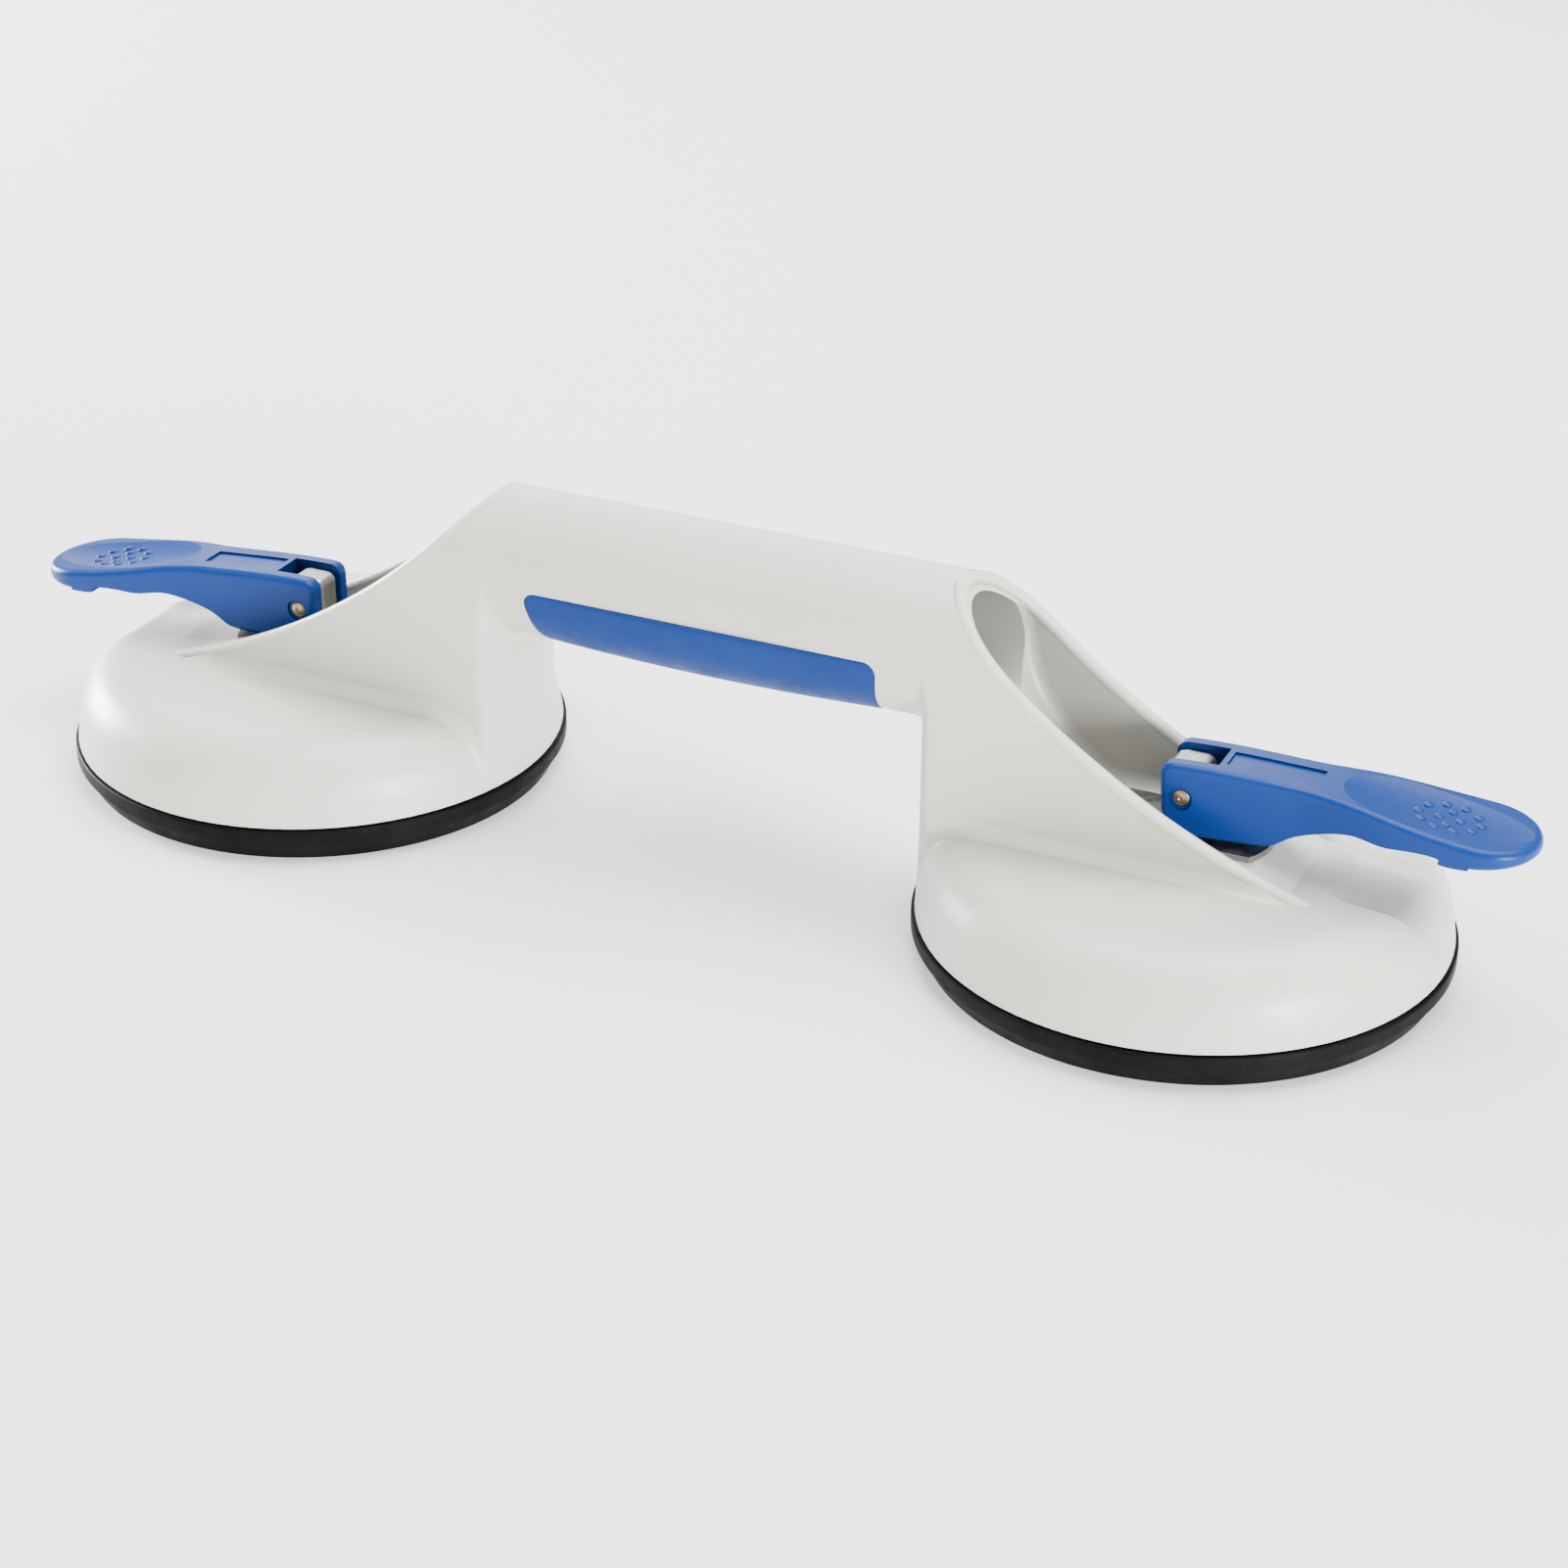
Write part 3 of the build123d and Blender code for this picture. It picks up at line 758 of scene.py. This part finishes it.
@dataclass
class Clamp:
    """Stud, plate, nut, pin and lever of one cup."""

    side: Side
    finishes: Finishes
    cup_offset: float = 112.0 * MM
    pivot_height: float = 40.7 * MM
    right_lift: float = 4.5
    pin_radius: float = 2.0 * MM
    pin_half_length: float = 7.95 * MM
    pin_crown: float = 0.6 * MM
    pin_segments: int = 40
    crown_start: float = 15.0
    crown_steps: int = 8
    dimple_radius: float = 0.55 * MM
    dimple_depth: float = 0.7
    dimple_wall: float = 0.55
    dish_along: float = 55.5 * MM
    dish_up: float = 1.1 * MM
    dish_slope: float = 9.0
    dish_half_length: float = 26.0 * MM
    dish_half_width: float = 12.6 * MM
    dish_half_height: float = 3.2 * MM
    dish_sink: float = 0.9 * MM
    bump_shift: float = 1.2 * MM
    bump_radius: float = 1.15 * MM
    bump_rise: float = 0.4 * MM
    bump_sink: float = 0.3 * MM
    bump_steps: int = 8
    bump_segments: int = 20
    bump_rings: tuple[tuple[int, float, float], ...] = (
        (10, 6.8 * MM, 5.6 * MM),
        (4, 2.3 * MM, 3.0 * MM),
    )

    @property
    def at_pivot(self) -> Matrix:
        """Matrix from the lever's own frame to its place at rest."""
        lift = math.radians(self.right_lift) if self.side is Side.RIGHT else 0.0
        at_pin = Matrix.Translation((self.cup_offset, 0, self.pivot_height))
        return self.side.turn @ at_pin @ Matrix.Rotation(-lift, 4, "Y")

    def dress(self) -> None:
        """Give the clamp's CAD pieces their finishes."""
        for piece in ("backing_plate", "pull_stud", "stud_nut", "spring_seat"):
            put_on(f"{self.side.word}_{piece}", self.finishes.plated)
        put_on(f"{self.side.word}_cam_lever", self.finishes.lever)

    def pin_outline(self) -> Outline:
        """Half section of the pin: domed ends with a punched dimple in each."""
        dimple = self.dimple_radius
        end = [
            (0.0, -dimple * self.dimple_depth),
            (dimple * self.dimple_wall, -dimple * self.dimple_wall),
            (dimple, 0.0),
        ]
        for step in range(1, self.crown_steps + 1):
            share = step / self.crown_steps
            turn = math.radians(self.crown_start + (90 - self.crown_start) * share)
            end.append((self.pin_radius * math.sin(turn), -self.pin_crown * (1 - math.cos(turn))))
        top = [(radius, self.pin_half_length + drop) for radius, drop in end]
        return [(radius, -height) for radius, height in top] + top[::-1]

    def build_pin(self) -> None:
        """Make the pin, with its punched ends, in place of its CAD solid."""
        name = f"{self.side.word}_punched_pin"
        place = self.at_pivot @ Matrix.Rotation(math.pi / 2, 4, "X")
        mesh = lathed(name, self.pin_outline(), place, self.pin_segments)
        piece = new_piece(name, mesh, self.finishes.pin, f"{self.side.word}_lever")
        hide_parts(f"{self.side.word}_pivot_pin")

    def dish_floor(self, along: float, across: float) -> float:
        """Height of the thumb dish's floor in the dish's own frame.

        Args:
            along: Distance from the dish's middle towards the lever's tip.
            across: Distance to the side.

        Returns:
            The floor's height.
        """
        inside = 1 - (along / self.dish_half_length) ** 2 - (across / self.dish_half_width) ** 2
        return self.dish_half_height - self.dish_sink - self.dish_half_height * math.sqrt(inside)

    def bump_outline(self) -> Outline:
        """Half section of one bump: a low round top on a short sunk foot."""
        outline = [(0.0, -self.bump_sink), (self.bump_radius, -self.bump_sink)]
        for step in range(self.bump_steps):
            turn = math.pi / 2 * step / self.bump_steps
            outline.append((self.bump_radius * math.cos(turn), self.bump_rise * math.sin(turn)))
        outline.append((0.0, self.bump_rise))
        return outline

    def build_bumps(self) -> None:
        """Make the rings of round bumps that stand in the thumb dish."""
        tilt = Matrix.Rotation(math.radians(self.dish_slope), 4, "Y")
        dish = self.at_pivot @ Matrix.Translation((self.dish_along, 0, self.dish_up)) @ tilt
        shape = bmesh.new()
        for count, half_length, half_width in self.bump_rings:
            for index in range(count):
                turn = 2 * math.pi * index / count
                along = self.bump_shift + half_length * math.cos(turn)
                across = half_width * math.sin(turn)
                place = dish @ Matrix.Translation((along, across, self.dish_floor(along, across)))
                bump = lathed("bump", self.bump_outline(), place, self.bump_segments)
                shape.from_mesh(bump)
                bpy.data.meshes.remove(bump)
        name = f"{self.side.word}_thumb_bumps"
        mesh = bpy.data.meshes.new(name)
        shape.to_mesh(mesh)
        shape.free()
        mesh.shade_smooth()
        new_piece(name, mesh, self.finishes.lever, f"{self.side.word}_lever")

    def build(self) -> None:
        """Dress the clamp and add the pieces that are made here."""
        self.dress()
        self.build_pin()
        self.build_bumps()


@dataclass(frozen=True)
class Viewpoint:
    """Camera that looks at the lifter as the photograph does."""

    place: Place = (0.2930, -0.5936, 0.3590)
    heading: float = -0.439
    dip: float = 0.479
    roll: float = 0.006
    lens: float = 73.29
    sensor: float = 36.0
    nearest: float = 0.05
    farthest: float = 20.0

    def build(self) -> None:
        """Add the camera and make it the scene's own."""
        flat = math.cos(self.dip)
        ahead = Vector((math.sin(self.heading) * flat, math.cos(self.heading) * flat, -math.sin(self.dip)))
        right = Vector((math.cos(self.heading), -math.sin(self.heading), 0.0))
        up = right.cross(ahead)
        unroll = Matrix.Rotation(self.roll, 3, ahead).inverted()
        axes = Matrix((unroll @ right, unroll @ up, -ahead)).transposed()
        data = bpy.data.cameras.new("viewpoint")
        data.sensor_fit = "HORIZONTAL"
        data.sensor_width = self.sensor
        data.lens = self.lens
        data.clip_start = self.nearest
        data.clip_end = self.farthest
        camera = bpy.data.objects.new("viewpoint", data)
        camera.matrix_world = Matrix.Translation(self.place) @ axes.to_4x4()
        bpy.context.scene.collection.objects.link(camera)
        bpy.context.scene.camera = camera


@dataclass(frozen=True)
class Softbox:
    """One square studio light, aimed at the lifter."""

    name: str
    place: Place
    size: float
    power: float
    target: Place = (0.0, 0.0, 0.03)

    def build(self) -> None:
        """Add the light."""
        data = bpy.data.lights.new(self.name, "AREA")
        data.size = self.size
        data.energy = self.power
        light = bpy.data.objects.new(self.name, data)
        light.location = self.place
        light.visible_camera = False
        aim = Vector(self.target) - Vector(self.place)
        light.rotation_euler = aim.to_track_quat("-Z", "Y").to_euler()
        bpy.context.scene.collection.objects.link(light)


@dataclass(frozen=True)
class Studio:
    """Pale floor, soft surrounding light and the softboxes."""

    floor_half: float = 6.0
    floor_gap: float = 0.05 * MM
    floor_colour: Colour = (0.8, 0.8, 0.8)
    floor_tone: float = 0.99
    floor_clouds: Patches = Patches(0.6, 2.0)
    floor_roughness: float = 0.85
    floor_glow: float = 0.6
    sky_strength: float = 0.55
    softboxes: tuple[Softbox, ...] = (
        Softbox("overhead", (0.15, 0.25, 1.25), 1.2, 43.0),
        Softbox("behind", (-0.8, 1.5, 0.9), 1.2, 20.0),
        Softbox("left_end", (-1.6, 0.3, 0.3), 0.56, 95.0),
        Softbox("right_end", (1.6, -0.8, 0.24), 0.42, 60.0),
        Softbox("front", (-0.5, -1.8, 0.4), 0.9, 8.0),
    )

    def floor_material(self) -> bpy.types.Material:
        """Build the floor's finish: pale, matt and faintly glowing."""
        sheet = Shading("pale_floor")
        darker = shade(self.floor_colour, self.floor_tone)
        clouds = sheet.patches(self.floor_clouds)
        sheet.feed("Base Color", sheet.mixed(clouds, self.floor_colour, darker))
        sheet.hold("Roughness", self.floor_roughness)
        sheet.hold("Emission Color", (1.0, 1.0, 1.0, 1.0))
        sheet.hold("Emission Strength", self.floor_glow)
        return sheet.material

    def build_floor(self) -> None:
        """Add the floor, a hair under the pads."""
        half = self.floor_half
        corners = [(-half, -half, 0), (half, -half, 0), (half, half, 0), (-half, half, 0)]
        mesh = bpy.data.meshes.new("floor")
        mesh.from_pydata(corners, [], [(0, 1, 2, 3)])
        mesh.materials.append(self.floor_material())
        floor = bpy.data.objects.new("floor", mesh)
        floor.location.z = -self.floor_gap
        bpy.context.scene.collection.objects.link(floor)

    def build_sky(self) -> None:
        """Add the even white light that surrounds the lifter."""
        world = bpy.data.worlds.new("studio")
        world.use_nodes = True
        background = world.node_tree.nodes["Background"]
        background.inputs["Color"].default_value = (1.0, 1.0, 1.0, 1.0)
        background.inputs["Strength"].default_value = self.sky_strength
        bpy.context.scene.world = world

    def build(self) -> None:
        """Add the floor, the surrounding light and the softboxes."""
        self.build_floor()
        self.build_sky()
        for softbox in self.softboxes:
            softbox.build()


def main() -> None:
    """Dress the lifter and set up the studio round it."""
    logging.basicConfig(level=logging.INFO, format="%(name)s: %(message)s")
    finishes = Finishes()
    Viewpoint().build()
    Studio().build()
    Housing(finishes).dress()
    Grip(finishes).build()
    for side in Side:
        SuctionPad(side, finishes).build()
        Clamp(side, finishes).build()


if __name__ == "__main__":
    main()
